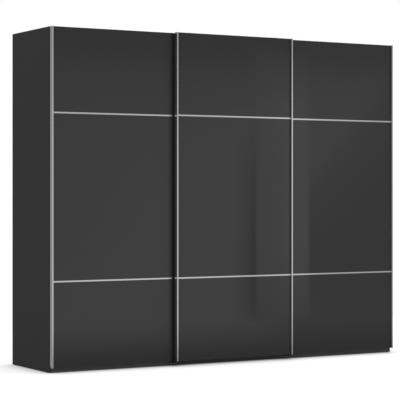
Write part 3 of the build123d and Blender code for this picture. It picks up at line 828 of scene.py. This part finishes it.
class WARDROBE_OT_covers(bpy.types.Operator):
    """Set covers over the joint fittings of the floor and top panels"""

    bl_idname = "wardrobe.covers"
    bl_label = "Add Joint Covers"

    def execute(self, context):
        sizes = fasteners()
        lid = turned_piece("joint_cover", COVER_OUTLINE, sizes.cover_radius, sizes.cover_height, COVER_FACETS)
        rows = []
        for bay in THIRDS:
            for board, facing in ((f"{bay}_floor_panel", UP), (f"{bay}_top_panel", -UP)):
                low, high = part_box(board)
                level = high.z if facing == UP else low.z
                step = REAR * (high.y - low.y - 2 * sizes.cover_edge)
                for x in (low.x + sizes.cover_inset, high.x - sizes.cover_inset):
                    start = Vector((x, low.y + sizes.cover_edge, level))
                    rows.append(row_mesh(lid, start, step, 2, facing, 0.0, plastic()))
        joined("joint_covers", rows, plastic(), "carcass")
        return {"FINISHED"}


def rounded_plug(name, width, depth, height, ease):
    """A plug with eased edges, its face up at the origin."""
    mesh = bpy.data.meshes.new(name)
    shape = bmesh.new()
    box_verts(shape, Vector((width, depth, height)), -UP * height / 2)
    bmesh.ops.bevel(
        shape, geom=list(shape.edges), offset=ease, segments=2, profile=0.5, affect="EDGES"
    )
    shape.to_mesh(mesh)
    shape.free()
    return mesh


class WARDROBE_OT_handle_plugs(bpy.types.Operator):
    """Close the ends of the hollow handles with plugs"""

    bl_idname = "wardrobe.handle_plugs"
    bl_label = "Add Handle Plugs"

    def execute(self, context):
        sizes = fasteners()
        for door in THIRDS:
            low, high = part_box(f"{door}_door_left_handle")
            door_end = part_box(f"{door}_door_right_handle")[1].x
            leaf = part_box(f"{door}_door_board")[0].x - low.x
            glass_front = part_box(f"{door}_door_top_glass")[0].y
            width = high.x - low.x - leaf - sizes.handle_wall
            depth = glass_front - low.y - 2 * sizes.handle_wall
            plug = rounded_plug("handle_plug", width, depth, sizes.plug_depth, sizes.plug_ease)
            x = low.x + leaf + width / 2
            y = (low.y + glass_front) / 2
            step = RIGHT * (low.x + door_end - 2 * x)
            top = Vector((x, y, high.z - sizes.plug_sunk))
            bottom = Vector((x, y, low.z + sizes.plug_sunk))
            rows = [row_mesh(plug, top, step, 2, UP, 0.0, plastic())]
            rows.append(row_mesh(plug, bottom, step, 2, -UP, 0.0, plastic()))
            joined(f"{door}_door_handle_plugs", rows, plastic(), f"{door}_door")
        return {"FINISHED"}


def flat_card(name, corners, material):
    """A flat four-cornered card of the stage, with its finish."""
    mesh = bpy.data.meshes.new(name)
    mesh.from_pydata(corners, [], [tuple(range(len(corners)))])
    mesh.materials.append(material)
    card = bpy.data.objects.new(name, mesh)
    bpy.context.scene.collection.objects.link(card)
    return card


def level_corners(x_span, y_span):
    """The corners of a level card between two values on each axis."""
    (left, right), (front, rear) = x_span, y_span
    return [(left, front, 0.0), (right, front, 0.0), (right, rear, 0.0), (left, rear, 0.0)]


def upright_corners(near, far, height):
    """The corners of an upright card over the line between two feet."""
    near, far = Vector(near), Vector(far)
    return [near, far, far + UP * height, near + UP * height]


def seen_or_mirrored(tree):
    """One where the camera, a mirror or a clear body looks, and none for plain light."""
    ray = tree.nodes.new("ShaderNodeLightPath").outputs
    seen = ray["Is Camera Ray"]
    for kind in ("Is Glossy Ray", "Is Transmission Ray"):
        seen = add(tree, "ShaderNodeMath", {0: seen, 1: ray[kind]}, operation="MAXIMUM").outputs[0]
    return seen


def empty_material(name):
    """A node material with only its output node."""
    material = bpy.data.materials.new(name)
    material.use_nodes = True
    material.node_tree.nodes.clear()
    output = material.node_tree.nodes.new("ShaderNodeOutputMaterial")
    return material, material.node_tree, output.inputs["Surface"]


def floor_material(stage):
    """A pale floor that reads as white, with the wardrobe's shadow partly real and partly painted."""
    material, tree, surface = empty_material("pale_floor")
    matte = add(tree, "ShaderNodeBsdfDiffuse", {"Color": (stage.floor_tone,) * 3 + (1.0,)})
    # Painted shadow: ambient occlusion dims the floor's white glow, tightly where the wardrobe meets it, and
    # more widely where Shade Lean tilts the occlusion towards the wardrobe
    near = add(tree, "ShaderNodeAmbientOcclusion", {"Distance": stage.contact_reach}, samples=SHADE_SAMPLES)
    contact = add(tree, "ShaderNodeMapRange", {
        "Value": near.outputs["AO"], "To Min": 1.0 - stage.contact_strength, "To Max": 1.0,
    })
    lean = add(tree, "ShaderNodeCombineXYZ", dict(enumerate(stage.shade_lean)))
    shade = add(tree, "ShaderNodeAmbientOcclusion", {
        "Distance": stage.shade_reach, "Normal": lean.outputs[0],
    }, samples=SHADE_SAMPLES)
    darkest = stage.floor_lift * (1.0 - stage.shade_strength)
    soft = add(tree, "ShaderNodeMapRange", {
        "Value": shade.outputs["AO"], "To Min": darkest, "To Max": stage.floor_lift,
    })
    lift = add(tree, "ShaderNodeMath", {0: contact.outputs[0], 1: soft.outputs[0]}, operation="MULTIPLY")
    white = add(tree, "ShaderNodeEmission", {"Color": (1, 1, 1, 1), "Strength": lift.outputs[0]})
    part = add(tree, "ShaderNodeMixShader", {0: 1.0 - stage.floor_light, 1: matte.outputs[0]})
    seen = add(tree, "ShaderNodeAddShader", {0: part.outputs[0], 1: white.outputs[0]})
    mixed = add(tree, "ShaderNodeMixShader", {
        0: seen_or_mirrored(tree), 1: matte.outputs[0], 2: seen.outputs[0],
    })
    tree.links.new(mixed.outputs[0], surface)
    return material


def faded(tree, axis, stops):
    """A soft curve through (place, tone) stops along one axis."""
    low, high = stops[0][0], stops[-1][0]
    along = add(tree, "ShaderNodeMapRange", {"Value": axis, "From Min": low, "From Max": high})
    curve = add(tree, "ShaderNodeFloatCurve", {"Value": along.outputs[0]})
    points = curve.mapping.curves[0].points
    while len(points) < len(stops):
        points.new(0.5, 0.5)
    for point, (at, tone) in zip(points, stops):
        point.location = ((at - low) / (high - low), tone)
        point.handle_type = "AUTO_CLAMPED"
    curve.mapping.update()
    return curve.outputs[0]


def card_material(name, dim, bright, fades):
    """A card that glows between two levels, by the product of soft fades along their directions."""
    material, tree, surface = empty_material(name)
    where = tree.nodes.new("ShaderNodeTexCoord").outputs["Object"]
    tone = 1.0
    for direction, stops in fades:
        along = add(tree, "ShaderNodeVectorMath", {0: where, 1: direction}, operation="DOT_PRODUCT")
        fade = faded(tree, along.outputs["Value"], stops)
        tone = add(tree, "ShaderNodeMath", {0: fade, 1: tone}, operation="MULTIPLY").outputs[0]
    level = add(tree, "ShaderNodeMapRange", {"Value": tone, "To Min": dim, "To Max": bright})
    glow = add(tree, "ShaderNodeEmission", {"Color": (1, 1, 1, 1), "Strength": level.outputs[0]})
    tree.links.new(glow.outputs[0], surface)
    return material


def only_in_mirrors(card):
    """Let only reflections see a card."""
    for kind in ("camera", "diffuse", "transmission", "volume_scatter", "shadow"):
        setattr(card, f"visible_{kind}", False)


class WARDROBE_OT_stage(bpy.types.Operator):
    """Set the floor, the light, the cards that the doors reflect and the camera"""

    bl_idname = "wardrobe.stage"
    bl_label = "Set the Studio"

    def execute(self, context):
        stage = context.scene.wardrobe_stage
        low, high = CAD_BOX
        margin = stage.floor_margin
        left, right = low.x - margin, high.x + margin
        front, rear = low.y - margin, high.y + margin
        flat_card("studio_floor", level_corners((left, right), (front, rear)), floor_material(stage))
        self.set_screen(stage)
        self.set_panel(stage)
        self.set_flanks(stage)
        self.set_world(context, stage)
        self.set_camera(context, stage)
        context.scene.view_settings.view_transform = "Standard"
        return {"FINISHED"}

    def set_screen(self, stage):
        """A screen before the doors that only reflections see: a wall, and a floor up to the doors."""
        dim, foot, bright = stage.screen_dim, stage.screen_foot, stage.screen_bright
        along = ((1.0, stage.screen_slant, -stage.screen_lean), SCREEN_ALONG)
        wall_glow = card_material("screen_wall", dim, bright, (along, (UP, SCREEN_UP)))
        floor_glow = card_material("screen_floor", foot, bright, (along, (REAR, SCREEN_INWARD)))
        end = RIGHT * stage.screen_reach
        run = stage.screen_distance + CAD_BOX[0].y - stage.card_lift
        wall = flat_card("screen_wall", upright_corners(-end, end, stage.screen_height), wall_glow)
        floor = flat_card("screen_floor", level_corners((-end.x, end.x), (0.0, run)), floor_glow)
        for card in (wall, floor):
            card.location = UP * stage.card_lift - REAR * stage.screen_distance
            only_in_mirrors(card)

    def set_panel(self, stage):
        """A plain upright light panel with a soft dark flap on its left, that only reflections see."""
        panel_fades = (RIGHT, PANEL_ALONG), (UP, PANEL_UP)
        flap_fades = (RIGHT, FLAP_ALONG), (UP, FLAP_UP)
        panel_glow = card_material("panel_glow", stage.panel_dim, stage.panel_bright, panel_fades)
        flap_glow = card_material("flap_glow", stage.flap_light, stage.flap_dark, flap_fades)
        foot = Vector()
        corners = upright_corners(foot, RIGHT * stage.panel_width, stage.panel_height)
        panel = flat_card("light_panel", corners, panel_glow)
        corners = upright_corners(RIGHT * -stage.flap_width, foot, stage.flap_height)
        flap = flat_card("panel_flap", corners, flap_glow)
        for card in (panel, flap):
            card.location = stage.panel_foot
            only_in_mirrors(card)

    def set_flanks(self, stage):
        """Two plain screens beside the ends that only reflections see, with their own floors."""
        glow = card_material("flank_glow", stage.flank_level, stage.flank_level, ())
        low, high = CAD_BOX
        for end, side, edge in (("left", -1, low.x), ("right", 1, high.x)):
            near = Vector((side * stage.flank_near.x, stage.flank_near.y, 0.0))
            far = Vector((side * stage.flank_far.x, stage.flank_far.y, 0.0))
            wall = flat_card(f"{end}_flank_wall", upright_corners(near, far, stage.flank_height), glow)
            floor = flat_card(f"{end}_flank_floor", level_corners((near.x, edge), (low.y, far.y)), glow)
            for card in (wall, floor):
                card.location = UP * stage.card_lift
                only_in_mirrors(card)

    def set_world(self, context, stage):
        """White where it is seen or mirrored, and an even light elsewhere."""
        world = bpy.data.worlds.new("studio_sky")
        context.scene.world = world
        world.use_nodes = True
        tree = world.node_tree
        tree.nodes.clear()
        light = add(tree, "ShaderNodeBackground", {"Color": (1, 1, 1, 1), "Strength": stage.sky_level})
        white = add(tree, "ShaderNodeBackground", {"Color": (1, 1, 1, 1), "Strength": 1.0})
        mixed = add(tree, "ShaderNodeMixShader", {
            0: seen_or_mirrored(tree), 1: light.outputs[0], 2: white.outputs[0],
        })
        add(tree, "ShaderNodeOutputWorld", {"Surface": mixed.outputs[0]})

    def set_camera(self, context, stage):
        """A level camera at the left of the front."""
        lens = bpy.data.cameras.new("studio_camera")
        lens.lens = stage.camera_lens
        lens.shift_y = stage.camera_shift
        camera = bpy.data.objects.new("studio_camera", lens)
        camera.location = stage.camera_place
        camera.rotation_euler = (math.radians(90), 0, stage.camera_turn)
        context.scene.collection.objects.link(camera)
        context.scene.camera = camera


STEPS = (
    WARDROBE_OT_boards,
    WARDROBE_OT_glass,
    WARDROBE_OT_aluminium,
    WARDROBE_OT_fittings,
    WARDROBE_OT_hanger_screws,
    WARDROBE_OT_carcass_screws,
    WARDROBE_OT_back_nails,
    WARDROBE_OT_covers,
    WARDROBE_OT_handle_plugs,
    WARDROBE_OT_stage,
)


class WARDROBE_PT_panel(bpy.types.Panel):
    """Lists the wardrobe's values and steps"""

    bl_idname = "WARDROBE_PT_panel"
    bl_label = "Sliding Door Wardrobe"
    bl_space_type = "VIEW_3D"
    bl_region_type = "UI"
    bl_category = "Wardrobe"

    def draw(self, context):
        layout = self.layout
        for values, key in GROUPS.items():
            holder = getattr(context.scene, key)
            for value in values.__annotations__:
                layout.prop(holder, value)
        for step in STEPS:
            layout.operator(step.bl_idname)


GROUPS = {
    WardrobeFinishes: "wardrobe_finishes",
    WardrobeFasteners: "wardrobe_fasteners",
    WardrobeStage: "wardrobe_stage",
}


def register():
    """Register the values, the steps and the panel."""
    for values, key in GROUPS.items():
        bpy.utils.register_class(values)
        setattr(bpy.types.Scene, key, PointerProperty(type=values))
    for step in STEPS:
        bpy.utils.register_class(step)
    bpy.utils.register_class(WARDROBE_PT_panel)


def unregister():
    """Take the panel, the steps and the values away again."""
    bpy.utils.unregister_class(WARDROBE_PT_panel)
    for step in reversed(STEPS):
        bpy.utils.unregister_class(step)
    for values, key in reversed(GROUPS.items()):
        delattr(bpy.types.Scene, key)
        bpy.utils.unregister_class(values)


def main():
    """Take every step in order."""
    register()
    for step in STEPS:
        group, action = step.bl_idname.split(".")
        getattr(getattr(bpy.ops, group), action)()


if __name__ == "__main__":
    main()
